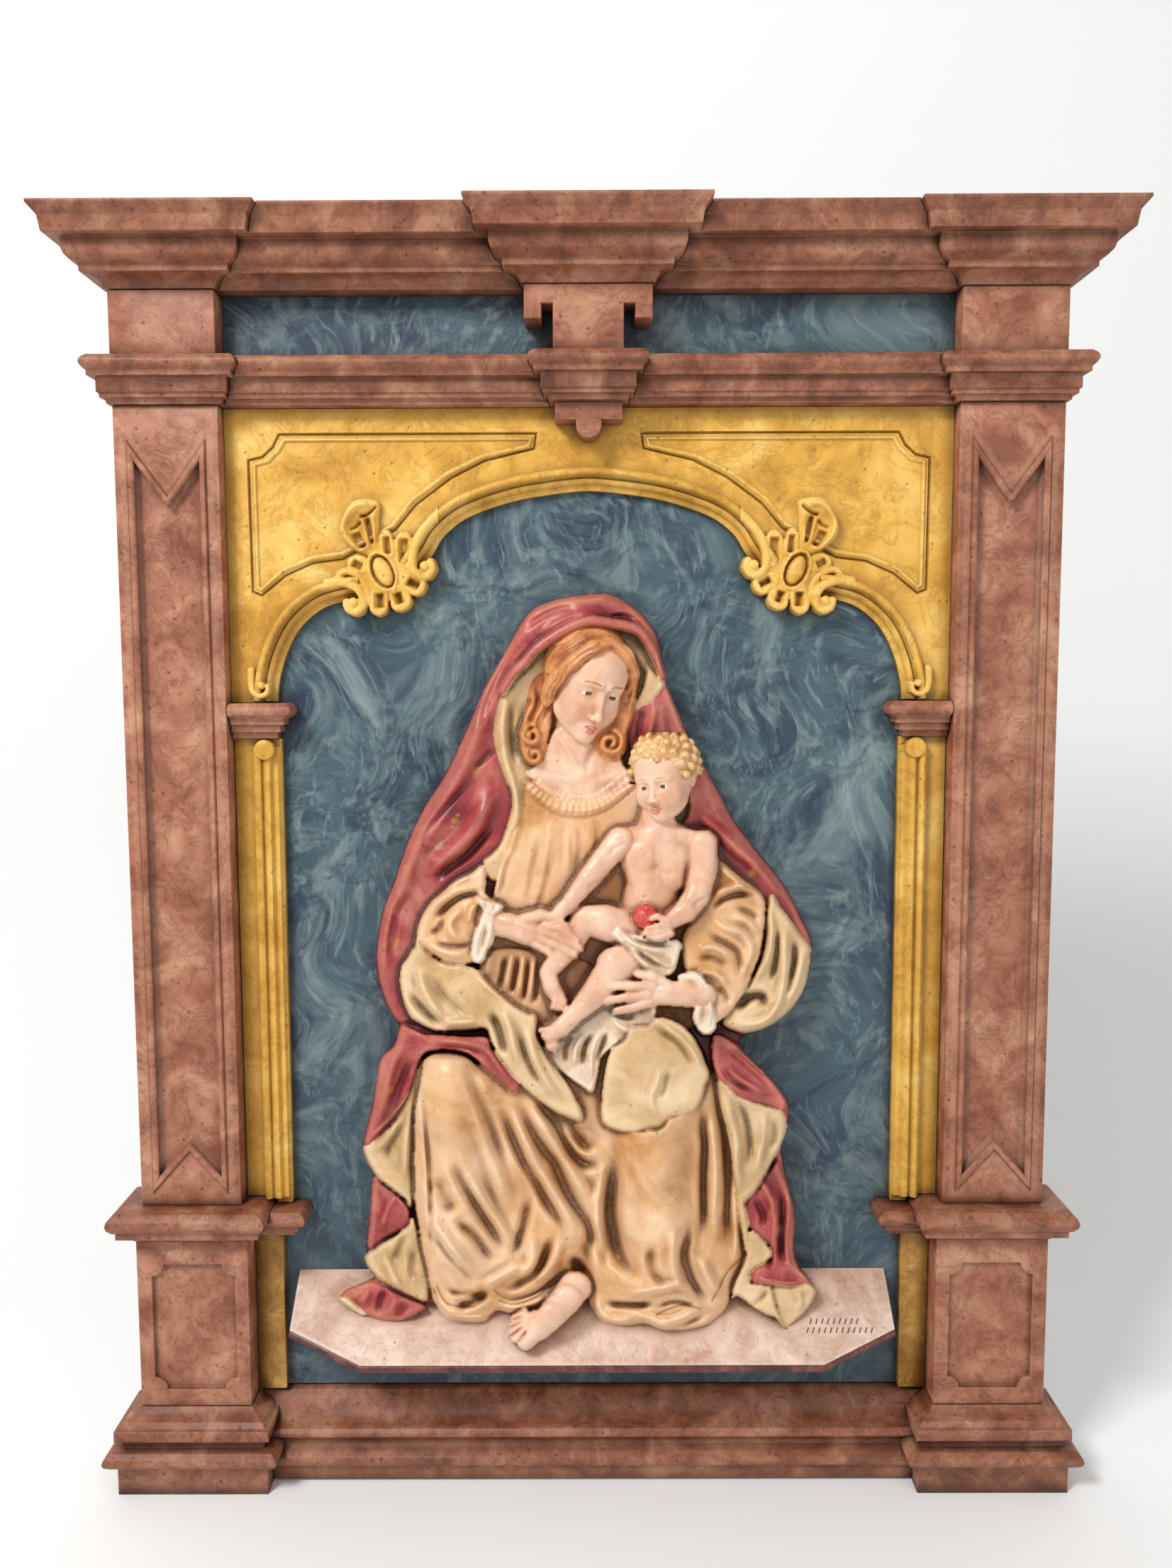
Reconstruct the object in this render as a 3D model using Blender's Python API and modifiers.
"""A carved and painted wooden altarpiece: an architectural frame round a relief of the
seated Madonna with the Child. x runs across, y into the wall, z up from the floor."""

import math

import bmesh
import bpy
from mathutils import Matrix, Vector

# ---- driving dimensions, in millimetres ---------------------------------------------
HEIGHT = 1200.0
BACK = 45.0  # the back of every board, measured from the pilaster fronts
CENTRE_Y = 8.5  # shifts the whole so that its bounding box is centred on y = 0
GAP = 0.3  # between pieces that touch

PILASTER = (339.0, 435.0)  # inner and outer edge of each shaft
CAP_TOP, SHAFT_TOP = 279.0, 1035.7
DIE = (332.6, 440.0)
DIE_FRONT = -6.0
FRIEZE = (1077.8, 1138.2)
RECESS = 8.0  # how far the runs between the blocks stand back
CENTRE_FRONT = -12.0
CONSOLE = 58.0  # half width of the console's lugs and of the cornice block over it
STEM = 32.0  # half width of its shaft and of the architrave block under it

BOARD_FRONT = 32.0  # blue board behind the relief
SPANDREL = (19.0, 31.7)  # yellow arch panel, front and back
STRIP_FRONT = 22.0
IMPOST = (730.0, 764.0)

SHELF_EDGE = (-45.0, 142.0)  # front edge of the ground's top: y and z
SHELF_SLOPE = 0.74  # rise of its top toward the back, mm for each mm

FIGURE_VOXEL = 3.0
FIGURE_FACES = 4600

# ---- moulding profiles: (projection, height) from the bottom up ----------------------


def bow(a, b, bulge, steps=4):
    """Points after a up to b on a curve that swells outward by bulge times its chord."""
    (p0, z0), (p1, z1) = a, b
    return [
        (
            p0 + (p1 - p0) * t + bulge * 4 * t * (1 - t) * (z1 - z0),
            z0 + (z1 - z0) * t - bulge * 4 * t * (1 - t) * (p1 - p0),
        )
        for t in (k / steps for k in range(1, steps + 1))
    ]


CORNICE = (
    [(2, 1138.5)]
    + bow((2, 1138.5), (18, 1149), -0.2)
    + [(18, 1155)]
    + bow((18, 1155), (29, 1173), 0.22)
    + [(29, 1175.5), (41, 1176), (43, 1189), (50, 1197.5), (50, HEIGHT)]
)
ARCHITRAVE = [(4, 1036), (5, 1040.5), (9, 1041), (9, 1045), (11, 1045.5), (11, 1058.6)]
ARCHITRAVE += [(17, 1059), (17, 1063.2)] + bow((17, 1063.4), (17, 1077.5), 0.36, 5)
CAP = [(1.5, 246.3)] + bow((1.5, 246.3), (12, 253), -0.2, 3)
CAP += [(14.5, 253.2), (14.5, 260.4), (17, 260.6)] + bow((17, 261), (17, CAP_TOP - 1.5), 0.3)
CAP += [(15, CAP_TOP)]
BASE = [(19, 0), (19, 28.5), (24, 29)] + bow((24, 29), (24, 45), 0.4)
BASE += [(15, 45.4), (15, 53.8), (21, 54), (21, 64.5), (17, 65), (14, 70)]
BASE += bow((12, 71), (1, 78.7), -0.15, 3)
INNER_CAP = [(8, 246.3), (8, 251), (12, 251.3), (12, 255.5)] + bow((15, 256), (15, 271.5), 0.35)
IMPOST_PROFILE = [(2, 730.3), (2, 736), (6, 736.4), (6, 743), (10, 743.4), (10, 748.5)]
IMPOST_PROFILE += bow((13, 749), (13, 763.7), 0.35)

# ---- materials ------------------------------------------------------------------------
FINISHES = {
    "terracotta": ((0.41, 0.18, 0.115), 0.5),
    "ochre": ((0.66, 0.36, 0.055), 0.45),
    "slate_blue": ((0.085, 0.15, 0.19), 0.55),
    "ground_pink": ((0.68, 0.48, 0.38), 0.45),
    "figure_cream": ((0.73, 0.47, 0.26), 0.4),
}


def finish(look, part):
    """A part's own material, in one of the painted finishes."""
    colour, roughness = FINISHES[look]
    made = bpy.data.materials.new(part + "_" + look)
    made.use_nodes = True
    shader = made.node_tree.nodes["Principled BSDF"]
    shader.inputs["Base Color"].default_value = (*colour, 1.0)
    shader.inputs["Roughness"].default_value = roughness
    shader.inputs["Metallic"].default_value = 0.0
    return made


# ---- the scene ------------------------------------------------------------------------
for old in list(bpy.data.objects):
    bpy.data.objects.remove(old)
PARTS = bpy.data.collections.new("wooden_altarpiece")
TOOLS = bpy.data.collections.new("cutters")
for group in (PARTS, TOOLS):
    bpy.context.scene.collection.children.link(group)


def put(point):
    """A point in millimetres as metres in the altarpiece's own frame."""
    x, y, z = point
    return Vector((x, y + CENTRE_Y, z)) / 1000


def solid(name, points, faces, look=None):
    """A closed mesh object; without a finish it is a cutter."""
    mesh = bpy.data.meshes.new(name)
    mesh.from_pydata([put(p) for p in points], [], faces)
    mesh.update()
    return keep(name, mesh, look)


def keep(name, mesh, look=None):
    """Puts a mesh in the scene with its normals outward."""
    work = bmesh.new()
    work.from_mesh(mesh)
    bmesh.ops.remove_doubles(work, verts=work.verts, dist=1e-5)
    bmesh.ops.recalc_face_normals(work, faces=work.faces)
    work.to_mesh(mesh)
    work.free()
    made = bpy.data.objects.new(name, mesh)
    if look:
        mesh.materials.append(finish(look, name))
    else:
        made.hide_render = True
        made.display_type = "WIRE"
    (PARTS if look else TOOLS).objects.link(made)
    return made


def loft(name, rings, look=None):
    """A skin over rings of equal point count, capped at both ends."""
    count = len(rings[0])
    points = [p for ring in rings for p in ring]
    faces = [list(range(count)), list(range(len(points) - count, len(points)))]
    for k in range(len(rings) - 1):
        for i in range(count):
            j = (i + 1) % count
            faces.append([k * count + i, k * count + j, (k + 1) * count + j, (k + 1) * count + i])
    return solid(name, points, faces, look)


def plate(name, outline, front, back, look=None):
    """A flat piece cut to an outline of (x, z) points: a filled curve with thickness."""
    curve = bpy.data.curves.new(name, "CURVE")
    curve.dimensions, curve.fill_mode = "2D", "BOTH"
    curve.extrude = (back - front) / 2000
    line = curve.splines.new("POLY")
    line.points.add(len(outline) - 1)
    for point, (x, z) in zip(line.points, outline):
        point.co = (x / 1000, z / 1000, 0, 1)
    line.use_cyclic_u = True
    guide = bpy.data.objects.new(name, curve)
    TOOLS.objects.link(guide)
    middle = put((0, (front + back) / 2, 0))
    guide.matrix_world = Matrix.Translation(middle) @ Matrix.Rotation(math.pi / 2, 4, "X")
    graph = bpy.context.evaluated_depsgraph_get()
    mesh = bpy.data.meshes.new_from_object(guide.evaluated_get(graph))
    mesh.transform(guide.matrix_world)
    bpy.data.objects.remove(guide)
    bpy.data.curves.remove(curve)
    mesh.name = name
    return keep(name, mesh, look)


def moulded(name, x0, x1, front, profile, look, ends=(1, 1), grow=0.0, back=BACK):
    """A moulded block: a rectangle in plan at each profile point, with mitred returns.
    ends scales the return at the left and right; -1 butts it against a neighbour's."""
    left, right = ends
    rings = []
    for p, z in profile:
        p += grow
        xs = (x0 - left * p, x1 + right * p)
        rings.append(
            [(xs[0], front - p, z), (xs[1], front - p, z), (xs[1], back, z), (xs[0], back, z)]
        )
    return loft(name, rings, look)


def boolean(target, tool, operation="DIFFERENCE"):
    """Cuts the tool from the target, or joins it, and applies the result."""
    step = target.modifiers.new(tool.name, "BOOLEAN")
    step.operation, step.solver, step.object = operation, "EXACT", tool
    return bake(target)


def bake(target):
    """Applies every modifier of the target."""
    graph = bpy.context.evaluated_depsgraph_get()
    done = bpy.data.meshes.new_from_object(target.evaluated_get(graph))
    target.modifiers.clear()
    old, target.data = target.data, done
    bpy.data.meshes.remove(old)
    return target


def trimmed(target):
    """Drops the crumbs a cut leaves beside the main body."""
    work = bmesh.new()
    work.from_mesh(target.data)
    left, bodies = set(work.verts), []
    while left:
        front = [left.pop()]
        body = set(front)
        while front:
            for edge in front.pop().link_edges:
                for vert in edge.verts:
                    if vert in left:
                        left.discard(vert)
                        body.add(vert)
                        front.append(vert)
        bodies.append(body)
    main = max(bodies, key=len)
    crumbs = [vert for vert in work.verts if vert not in main]
    bmesh.ops.delete(work, geom=crumbs, context="VERTS")
    work.to_mesh(target.data)
    work.free()
    return target


def mirrored(source, name):
    """The same piece on the other side of the altarpiece."""
    mesh = source.data.copy()
    mesh.transform(Matrix.Scale(-1, 4, (1, 0, 0)))
    mesh.flip_normals()
    mesh.name = name
    own = source.data.materials[0].copy()
    own.name = name + source.data.materials[0].name.removeprefix(source.name)
    mesh.materials[0] = own
    made = bpy.data.objects.new(name, mesh)
    PARTS.objects.link(made)
    return made


def inset(outline, by):
    """A convex-or-not polygon moved inward by a distance, corner by corner."""
    area = sum(
        a[0] * b[1] - b[0] * a[1] for a, b in zip(outline, outline[1:] + outline[:1])
    )
    side = 1 if area > 0 else -1
    moved = []
    for i, here in enumerate(outline):
        before, after = Vector(outline[i - 1]), Vector(outline[(i + 1) % len(outline)])
        u = (Vector(here) - before).normalized()
        v = (after - Vector(here)).normalized()
        n, m = Vector((-u.y, u.x)) * side, Vector((-v.y, v.x)) * side
        bisector = (n + m).normalized()
        moved.append(tuple(Vector(here) + bisector * (by / max(0.35, bisector.dot(n)))))
    return moved


def bothsides(maker, name):
    """Builds the left-hand piece and mirrors it to the right."""
    left = maker(name + "_left")
    mirrored(left, name + "_right")
    return left


# ---- pilasters, pedestals and bases -----------------------------------------------------


def pilaster(name):
    inner, outer = PILASTER
    middle = -(inner + outer) / 2
    shaft = plate(
        name,
        [(-outer, CAP_TOP + GAP), (-inner, CAP_TOP + GAP), (-inner, SHAFT_TOP), (-outer, SHAFT_TOP)],
        0.0,
        BACK,
        "terracotta",
    )
    rim = [(-36, 292), (0, 333), (36, 292), (36, 1004), (0, 954), (-36, 1004)]
    rim = [(middle + x, z) for x, z in rim]
    floor = inset(rim, 9.5)
    tool = loft(
        name + "_sinking",
        [[(x, -1.0, z) for x, z in rim], [(x, 0.8, z) for x, z in rim], [(x, 7, z) for x, z in floor]],
    )
    return boolean(shaft, tool)


def pedestal(name):
    inner, outer = DIE
    die = plate(
        name, [(-outer, 79), (-inner, 79), (-inner, 246), (-outer, 246)], DIE_FRONT, BACK, "terracotta"
    )
    x0, x1, z0, z1, notch = -426.0, -346.0, 95.5, 222.0, 12.0
    rim = []
    for cx, cz, start in ((x0, z0, 90), (x1, z0, 180), (x1, z1, 270), (x0, z1, 360)):
        for k in range(5):
            turn = math.radians(start - 22.5 * k)
            rim.append((cx + notch * math.cos(turn), cz + notch * math.sin(turn)))
    tool = plate(name + "_sinking", rim, DIE_FRONT - 2, DIE_FRONT + 5)
    return boolean(die, tool)


def base(name):
    return moulded(name, -DIE[1], -DIE[0], DIE_FRONT, BASE, "terracotta")


def pedestal_cap(name):
    return moulded(name, -DIE[1], -DIE[0], DIE_FRONT, CAP, "terracotta")


def inner_cap(name):
    whole = moulded(name, -331.0, -297.0, 14.0, INNER_CAP, "terracotta", (0, 1))
    grown = [(-0.5, 246.0 - GAP)] + [(p, z + (GAP if z > 270 else -GAP)) for p, z in CAP]
    tool = moulded(name + "_room", -DIE[1], -DIE[0], DIE_FRONT, grown, None, grow=0.4, back=60)
    return boolean(whole, tool)


bothsides(pilaster, "pilaster")
bothsides(pedestal, "pedestal_die")
bothsides(base, "pedestal_base")
bothsides(pedestal_cap, "pedestal_cap")
bothsides(inner_cap, "inner_cap")

RAIL = [(5, 2.5), (5, 17), (8, 17.3)] + bow((8, 17.3), (8, 32), 0.35)
RAIL += bow((3, 32.3), (3, 43), -0.25, 3) + [(3.5, 43.3)] + bow((3.5, 43.3), (3.5, 53), 0.35, 3)
RAIL += bow((1, 53.3), (-18, 66), -0.15) + [(-28, 75.5), (-36, 78.4)]
rail = moulded("bottom_rail", -332.0, 332.0, 0.0, RAIL, "terracotta", (0, 0), back=BACK)
for side in (-1, 1):
    low, high = sorted((side * DIE[0], side * DIE[1]))
    room = [(BASE[0][0], -3.0)] + BASE[1:-1] + [(BASE[-1][0], 82.0)]
    boolean(rail, moulded("base_room", low, high, DIE_FRONT, room, None, grow=GAP, back=60))

# ---- boards behind ------------------------------------------------------------------------
plate(
    "blue_board",
    [(-338.6, 79.2), (338.6, 79.2), (338.6, 1035.6), (-338.6, 1035.6)],
    BOARD_FRONT,
    BACK,
    "slate_blue",
)
plate(
    "frieze_board",
    [(-338.6, FRIEZE[0]), (338.6, FRIEZE[0]), (338.6, FRIEZE[1]), (-338.6, FRIEZE[1])],
    25.0,
    BACK,
    "slate_blue",
)
board = bpy.data.objects["blue_board"]
for side in (-1, 1):
    low, high = sorted((side * DIE[0], side * DIE[1]))
    room = [(1.5, 79.0)] + [(2.0, 246.0)] + [(p, z + (GAP if z > 270 else 0)) for p, z in CAP]
    boolean(board, moulded("die_room", low, high, DIE_FRONT, room, None, grow=GAP, back=60))
    low, high = sorted((side * 331.0, side * 297.0))
    wide = [(p, z + (GAP if z > 270 else -GAP)) for p, z in INNER_CAP]
    boolean(board, moulded("cap_room", low, high, 14.0, wide, None, (1, 1), GAP, 60))


# ---- the arch ------------------------------------------------------------------------------
LOWER_ARC = [(-297, 765), (-295, 780), (-291.5, 797), (-284, 818), (-275, 833), (-262, 846)]
LOWER_ARC += [(-247, 855), (-231, 858.5)]
UPPER_ARC = [(-146, 905), (-138, 918), (-125, 930), (-110, 938.5), (-90, 946), (-65, 953)]
UPPER_ARC += [(-33, 958), (0, 961)]
UPPER_ARC += [(-x, z) for x, z in UPPER_ARC[-2::-1]]
# distance outward from the opening's edge, and y
ARCH_SECTION = [(0, 31.6), (0, 27), (4, 25.5), (5, 22), (11, 18), (12.5, 13.5), (16, 11.5)]
ARCH_SECTION += [(20, 13), (21.5, 18.7), (12, 18.7), (12, 31.6)]


def offset_path(path, by):
    """An open path moved to its left."""
    moved = []
    for i, here in enumerate(path):
        u = Vector(path[max(i - 1, 0)])
        v = Vector(path[min(i + 1, len(path) - 1)])
        along = (v - u).normalized()
        moved.append((here[0] - along.y * by, here[1] + along.x * by))
    return moved


def sweep(name, path, section, look=None):
    """A section of (offset, y) points carried along a path of (x, z) points."""
    strips = [(offset_path(path, off), y) for off, y in section]
    rings = [[(*strip[i], y) for strip, y in strips] for i in range(len(path))]
    return loft(name, [[(x, y, z) for x, z, y in ring] for ring in rings], look)


def disc(name, x, z, radius, front, back, sides=20, look=None):
    """A round boss facing the front, its rim rounded over."""
    place = Matrix.Translation(put((x, (front + back) / 2, z)))
    place = place @ Matrix.Rotation(math.pi / 2, 4, "X")
    work = bmesh.new()
    bmesh.ops.create_cone(
        work, cap_ends=True, segments=sides, radius1=radius / 1000, radius2=radius / 1000,
        depth=(back - front) / 1000, matrix=place,
    )
    face = put((0, front + 0.1, 0)).y
    rim = [edge for edge in work.edges if all(vert.co.y < face for vert in edge.verts)]
    bmesh.ops.bevel(work, geom=rim, offset=0.003, segments=2, profile=0.5, affect="EDGES")
    mesh = bpy.data.meshes.new(name)
    work.to_mesh(mesh)
    work.free()
    return keep(name, mesh, look)


def lower_moulding(name):
    made = sweep(name, LOWER_ARC, ARCH_SECTION, "ochre")
    return boolean(made, disc(name + "_eye", -221, 857, 9.5, 10.5, 31.6), "UNION")


bothsides(lower_moulding, "arch_moulding_lower")
upper = sweep("arch_moulding_upper", UPPER_ARC, ARCH_SECTION, "ochre")
for side in (-1, 1):
    boolean(upper, disc("eye", side * 154.0, 891, 11.0, 9.5, 31.6), "UNION")

edge = offset_path(LOWER_ARC, 12.3) + [(-222, 876), (-176, 903)] + offset_path(UPPER_ARC, 12.3)
edge += [(-x, z) for x, z in [(-176, 903), (-222, 876)] + offset_path(LOWER_ARC, 12.3)[::-1]]
edge[0], edge[-1] = (-309.3, IMPOST[1] + GAP), (309.3, IMPOST[1] + GAP)
spandrel = plate(
    "arch_panel",
    edge + [(338.7, IMPOST[1] + GAP), (338.7, 1035.6), (-338.7, 1035.6), (-338.7, IMPOST[1] + GAP)],
    *SPANDREL,
    "ochre",
)
for side in (-1, 1):
    boolean(spandrel, disc("eye_room", side * 154.0, 891, 11.3, 5, 40))
    boolean(spandrel, disc("eye_room", side * 221.0, 857, 9.8, 5, 40))

GROOVE = [(-288, 1012.5), (-49, 1012.5), (-51, 999), (-97, 988), (-129, 972), (-161.5, 948)]
GROOVE += [(-181, 925), (-231, 898), (-259, 894.5), (-285, 883), (-308, 864.5), (-316, 868)]
GROOVE += [(-317, 989), (-304, 992), (-294, 1001)]
for side in (-1, 1):
    line = [(side * x, z) for x, z in GROOVE]
    rims = [
        [(x, y, z) for x, z in inset(line, by)]
        for by, y in ((-2.2, 18.0), (2.2, 18.0), (0.0, 21.5))
    ]
    count = len(line)
    points = [p for rim in rims for p in rim]
    faces = []
    for k in range(3):
        for i in range(count):
            j, up = (i + 1) % count, (k + 1) % 3
            faces.append([k * count + i, k * count + j, up * count + j, up * count + i])
    boolean(spandrel, solid("groove", points, faces))


def strip_board(name):
    steps = [(-338.7, CAP_TOP + GAP), (-309.4, CAP_TOP + GAP), (-309.4, 272.4), (-294, 272.4)]
    steps += [(-294, IMPOST[0]), (-338.7, IMPOST[0])]
    return plate(name, steps, STRIP_FRONT, SPANDREL[1], "ochre")


def strip_bead(name):
    section = [(-319, 21.7), (-319, 15), (-316, 12), (-312.5, 14), (-311, 17), (-308, 14.5)]
    section += [(-304, 14.5), (-301, 18.5), (-297, 18.5), (-295, 21.7)]
    made = loft(name, [[(x, y, z) for x, y in section] for z in (CAP_TOP + GAP, 722)], "ochre")
    return boolean(made, disc(name + "_eye", -308, 719.5, 10.0, 10.5, 21.7), "UNION")


def lower_strip(name):
    outline = [(-332.2, 79.3), (-305, 79.3), (-305, 245.9), (-332.2, 245.9)]
    return plate(name, outline, STRIP_FRONT, SPANDREL[1], "ochre")


def impost(name):
    return moulded(name, -338.7, -297.0, 16.0, IMPOST_PROFILE, "terracotta", (0, 1), back=SPANDREL[1])


bothsides(strip_board, "side_strip")
bothsides(strip_bead, "side_bead")
bothsides(lower_strip, "lower_strip")
bothsides(impost, "impost")


# ---- rounded, carved work --------------------------------------------------------------------


def clay(name, forms, look, voxel, faces, rounds=2):
    """Balls, eggs and tapered limbs fused into one carved body.
    A form is (centre, radii, lean) or (start, start radius, end, end radius)."""
    work = bmesh.new()
    for form in forms:
        if len(form) == 3:
            centre, radii, lean = form
            place = Matrix.Translation(put(centre)) @ Matrix.Rotation(math.radians(lean), 4, "Y")
            size = Matrix.Diagonal((*(r / 1000 for r in radii), 1))
            bmesh.ops.create_icosphere(work, subdivisions=3, radius=1, matrix=place @ size)
            continue
        start, r0, end, r1 = form
        start, end = Vector(start), Vector(end)
        count = max(2, int((end - start).length / (0.3 * min(r0, r1))) + 1)
        for k in range(count + 1):
            t = k / count
            place = Matrix.Translation(put(start.lerp(end, t)))
            bmesh.ops.create_icosphere(
                work, subdivisions=2, radius=(r0 + (r1 - r0) * t) / 1000, matrix=place
            )
    mesh = bpy.data.meshes.new(name)
    work.to_mesh(mesh)
    work.free()
    made = bpy.data.objects.new(name, mesh)
    PARTS.objects.link(made)
    fused = made.modifiers.new("fuse", "REMESH")
    fused.mode, fused.voxel_size = "VOXEL", voxel / 1000
    if rounds:
        soft = made.modifiers.new("soften", "SMOOTH")
        soft.factor, soft.iterations = 0.5, rounds
    bake(made)
    fewer = made.modifiers.new("thin", "DECIMATE")
    fewer.ratio = min(1.0, faces / max(1, sum(len(f.vertices) - 2 for f in made.data.polygons)))
    bake(made)
    made.data.materials.clear()
    made.data.materials.append(finish(look, name))
    return made


def slab(name, y0, y1, below=None):
    """A big cutter; below gives a top that follows the ground's slope."""
    if below is None:
        return plate(name, [(-600, -50), (600, -50), (600, 1300), (-600, 1300)], y0, y1)
    top = [SHELF_EDGE[1] + SHELF_SLOPE * (y - SHELF_EDGE[0]) + below for y in (y0, y1)]
    ring = [(y0, 20), (y1, 20), (y1, top[1]), (y0, top[0])]
    return loft(name, [[(x, y, z) for y, z in ring] for x in (-400, 400)])


PETALS = [  # centre, half width, half length, lean of each petal round the oval
    ((-190, 912), 6.5, 14, 3),
    ((-172, 907), 9, 17, 14),
    ((-164, 874), 9, 14, 118),
    ((-180, 860), 8.5, 14, 142),
    ((-199, 859), 8.5, 16, 178),
    ((-213, 876), 8, 17, 235),
    ((-221, 893), 6, 12, 295),
]


def ornament(name):
    """A rosette of petals round an oval with a curled leaf over it."""
    forms = [((-195, 14, 886), (14, 7, 19), -28), ((-194, 9, 886.5), (8, 6, 13), -28)]
    for (x, z), width, length, lean in PETALS:
        forms.append(((x, 15.5, z), (width, 5.5, length), lean))
    leaf = [(-205, 15, 902), (-218, 14, 912), (-224, 12, 925), (-222, 8, 938), (-213, 5, 947)]
    leaf += [(-202, 7, 949)]
    radii = [6, 9, 11, 11, 8, 3]
    for k in range(5):
        forms.append((leaf[k], radii[k], leaf[k + 1], radii[k + 1]))
    forms.append(((-180, 14, 893), (22, 4, 16), 0))
    made = clay(name, forms, "ochre", 1.5, 700, 1)
    boolean(made, slab(name + "_back", SPANDREL[0] - GAP, 80))
    return made


def ornament_room(name, target):
    """Clears the neighbours of the ornament by the gap."""
    grown = bpy.data.objects[name].data.copy()
    tool = keep("room_for_" + name, grown)
    swell = tool.modifiers.new("swell", "DISPLACE")
    swell.strength, swell.mid_level = GAP * 1.6 / 1000, 0.0
    bake(tool)
    boolean(target, tool)


for side, tag in ((-1, "left"), (1, "right")):
    if side < 0:
        ornament("scroll_ornament_left")
    else:
        mirrored(bpy.data.objects["scroll_ornament_left"], "scroll_ornament_right")
    for piece in ("arch_moulding_lower_" + tag, "arch_moulding_upper"):
        ornament_room("scroll_ornament_" + tag, bpy.data.objects[piece])
        trimmed(bpy.data.objects[piece])

# ---- entablature ---------------------------------------------------------------------------


def corner_cornice(name):
    return moulded(name, -436, -339, 0.0, CORNICE, "terracotta")


def corner_architrave(name):
    return moulded(name, -434.5, -338, 0.0, ARCHITRAVE, "terracotta")


def frieze_block(name):
    return plate(
        name,
        [(-436, FRIEZE[0]), (-339, FRIEZE[0]), (-339, FRIEZE[1]), (-436, FRIEZE[1])],
        0.0,
        BACK,
        "terracotta",
    )


def cornice_run(name):
    return moulded(name, -338.7, -CONSOLE - GAP, RECESS, CORNICE, "terracotta", (-1, -1))


def architrave_run(name):
    return moulded(name, -337.7, -STEM - GAP, RECESS, ARCHITRAVE, "terracotta", (-1, -1))


bothsides(corner_cornice, "cornice_corner")
bothsides(frieze_block, "frieze_block")
bothsides(corner_architrave, "architrave_corner")
bothsides(cornice_run, "cornice_run")
bothsides(architrave_run, "architrave_run")
moulded("cornice_centre", -CONSOLE, CONSOLE, CENTRE_FRONT, CORNICE, "terracotta")
moulded("architrave_centre", -STEM, STEM, CENTRE_FRONT, ARCHITRAVE, "terracotta")

half = [(STEM, FRIEZE[0]), (STEM, 1121), (42, 1121), (42, 1108), (CONSOLE, 1108), (CONSOLE, FRIEZE[1])]
plate(
    "centre_console", half + [(-x, z) for x, z in half[::-1]], CENTRE_FRONT, 24.7, "terracotta"
)
tongue = [(11.6 * math.cos(math.radians(a)), 1015.6 + 11.6 * math.sin(math.radians(a)))
          for a in range(-90, 1, 15)]
half = tongue + [(11.6, 1020), (30.5, 1020), (30.5, 1035.7)]
plate("pendant", half + [(-x, z) for x, z in half[:0:-1]], -8.0, 18.7, "terracotta")

# ---- the ground under the figure -------------------------------------------------------------
PLAN = [(-292, 31.7), (-292, -18), (-220, SHELF_EDGE[0]), (220, SHELF_EDGE[0]), (292, -18), (292, 31.7)]


def ground_height(y):
    """Height of the sloping ground at a depth."""
    return SHELF_EDGE[1] + SHELF_SLOPE * (y - SHELF_EDGE[0])


under = [(x * 0.975, y + (6 if y < 0 else 0), 123 if y > 0 else ground_height(y) - 10 - 0.15 * (y + 45))
         for x, y in PLAN]
rim = [(x, y, ground_height(y) - 3) for x, y in PLAN]
loft("ground_shelf", [under, rim, [(x, y, ground_height(y)) for x, y in PLAN]], "ground_pink")

# ---- the relief -------------------------------------------------------------------------------
MANTLE = [(10, 864), (-16, 857), (-38, 841), (-56, 819), (-67, 801), (-83, 761), (-109, 724)]
MANTLE += [(-135, 687), (-158, 642), (-177, 605), (-193, 567), (-198, 522), (-192, 490), (-180, 462)]
MANTLE += [(-178, 450), (-191, 434), (-201, 406), (-209, 383), (-215, 352), (-211, 332), (-203, 305)]
MANTLE += [(-194, 281), (-202, 257), (-215, 234), (-214, 212), (-150, 206), (150, 206), (208, 206)]
MANTLE += [(197, 233), (187, 272), (178, 312), (188, 347), (187, 376), (167, 413), (146, 438)]
MANTLE += [(167, 452), (189, 467), (203, 505), (207, 528), (198, 558), (173, 604), (146, 641)]
MANTLE += [(128, 675), (109, 708), (94, 738), (76, 775), (68, 800), (59, 827), (44, 846), (28, 859)]

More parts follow.
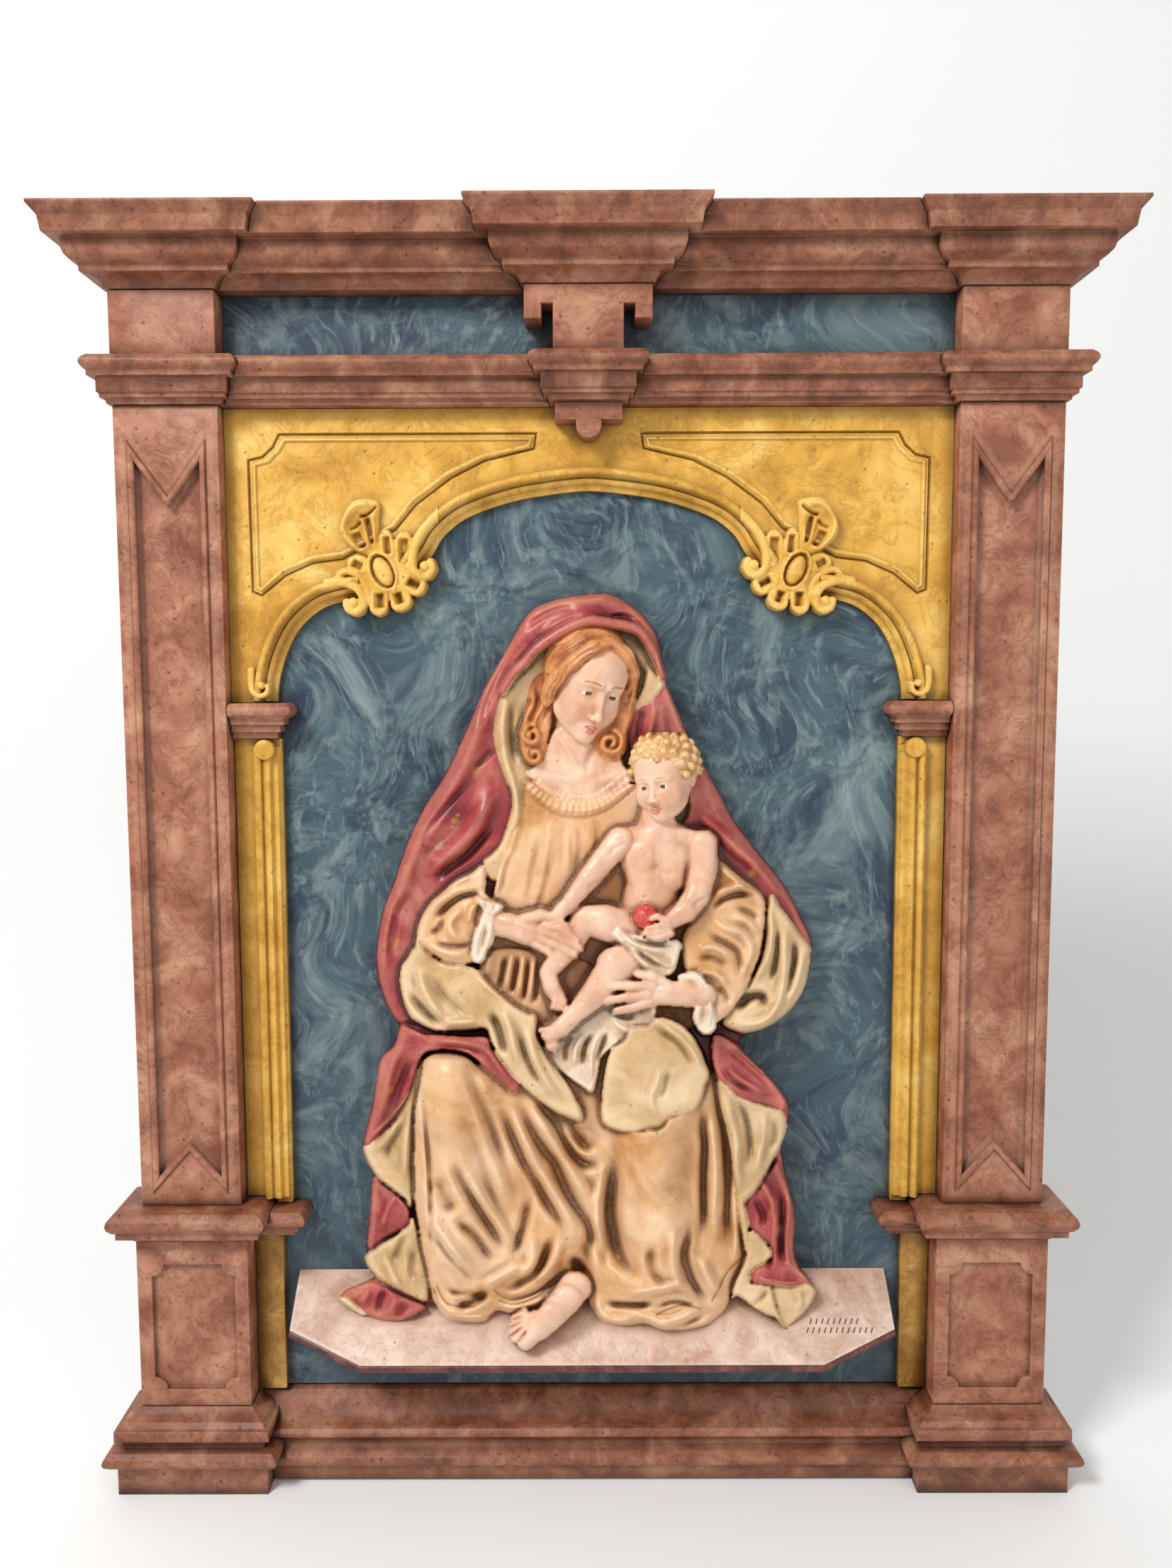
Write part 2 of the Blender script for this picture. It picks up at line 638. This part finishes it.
FORMS = [
    # head, hood and hair
    ((-1, -8, 782), (41, 32, 55), 12),
    ((6, 12, 802), (62, 26, 58), 8),
    ((-52, 0, 752), (13, 14, 42), 4),
    ((20, -12, 722), (14, 12, 15), 0),
    ((-52, -6, 722), (12, 12, 18), 0),
    # neck, breast and shoulders
    ((-14, -4, 738), 24, (-10, 0, 700), 26),
    ((-8, 4, 690), (52, 20, 30), 0),
    ((-25, 6, 628), (72, 28, 86), 0),
    ((-62, 12, 740), 24, (-128, 6, 640), 30),
    ((-128, 6, 640), 30, (-160, 4, 545), 30),
    ((60, 14, 750), 20, (110, 10, 680), 22),
    ((110, 10, 680), 24, (168, 8, 585), 26),
    # her right sleeve and hand
    ((-128, -2, 548), (38, 28, 30), 0),
    ((-118, -8, 550), 26, (-92, -16, 560), 20),
    ((-92, -26, 560), 12, (-42, -30, 548), 13),
    ((-42, -32, 548), 11, (-12, -38, 530), 5),
    # her left sleeve and hand
    ((142, 0, 555), (36, 26, 58), -6),
    ((128, -6, 505), (28, 26, 30), 0),
    ((98, -26, 497), 13, (60, -32, 502), 13),
    ((60, -34, 502), 9, (20, -40, 497), 5),
    ((172, 10, 510), (32, 22, 44), -18),
    # lap, knees and the folds down to the ground
    ((-95, 2, 495), (74, 26, 42), 22),
    ((-10, 6, 470), (90, 22, 60), 0),
    ((-122, -6, 398), (46, 38, 52), 0),
    ((60, -8, 418), (46, 38, 58), 0),
    ((-122, -2, 392), 42, (-112, 8, 212), 38),
    ((62, -2, 400), 40, (66, 4, 212), 40),
    ((-34, 8, 320), 34, (-20, 4, 230), 34),
    ((104, 6, 330), 30, (112, 2, 206), 32),
    ((-160, 10, 330), 22, (-150, 4, 190), 22),
    ((-190, 12, 300), 14, (-190, 8, 200), 20),
    ((170, 14, 320), 18, (196, 4, 196), 18),
    ((-208, 4, 190), (34, 18, 22), 10),
    ((-78, -8, 185), (60, 20, 22), 8),
    ((66, -12, 178), (70, 20, 24), 0),
    ((-28, -18, 192), 14, (-62, -38, 157), 11),
    ((-62, -38, 157), 11, (-66, -40, 150), 9),
    # the Child
    ((70, -18, 690), (31, 27, 37), -6),
    ((70, -14, 655), 16, (66, -14, 635), 24),
    ((62, -14, 606), (38, 26, 50), 0),
    ((50, -16, 560), (36, 24, 30), 0),
    ((36, -22, 636), 13, (6, -28, 604), 12),
    ((6, -28, 604), 12, (-22, -34, 566), 8),
    ((100, -20, 630), 14, (106, -24, 582), 13),
    ((106, -24, 582), 13, (74, -36, 550), 9),
    ((52, -38, 564), (12, 11, 12), 0),
    ((32, -20, 556), 20, (2, -26, 560), 19),
    ((0, -28, 556), 16, (-20, -32, 516), 10),
    ((-20, -34, 512), 9, (-44, -34, 511), 7),
    ((44, -24, 540), 20, (22, -34, 520), 20),
    ((20, -34, 512), 16, (-22, -36, 470), 11),
    ((-22, -38, 466), 11, (-40, -38, 450), 8),
    ((-2, -18, 452), (30, 14, 44), -18),
    ((38, -20, 478), (26, 14, 22), 0),
]

figure = clay("madonna_and_child", FORMS, "figure_cream", FIGURE_VOXEL, FIGURE_FACES)
hem = inset(MANTLE, 6)
robe = loft(
    "robe_ground", [[(x, y, z) for x, z in line] for line, y in ((MANTLE, 40.0), (MANTLE, 13.0), (hem, 7.0))]
)
boolean(figure, robe, "UNION")
boolean(figure, slab("figure_back", BOARD_FRONT - GAP, 90))
boolean(figure, slab("figure_foot", -140, 60, GAP))
trimmed(figure)

# ---- shading: soft over curves, crisp at edges ------------------------------------------------
for made in PARTS.objects:
    made.data.shade_smooth()
    made.data.set_sharp_from_angle(angle=math.radians(32))
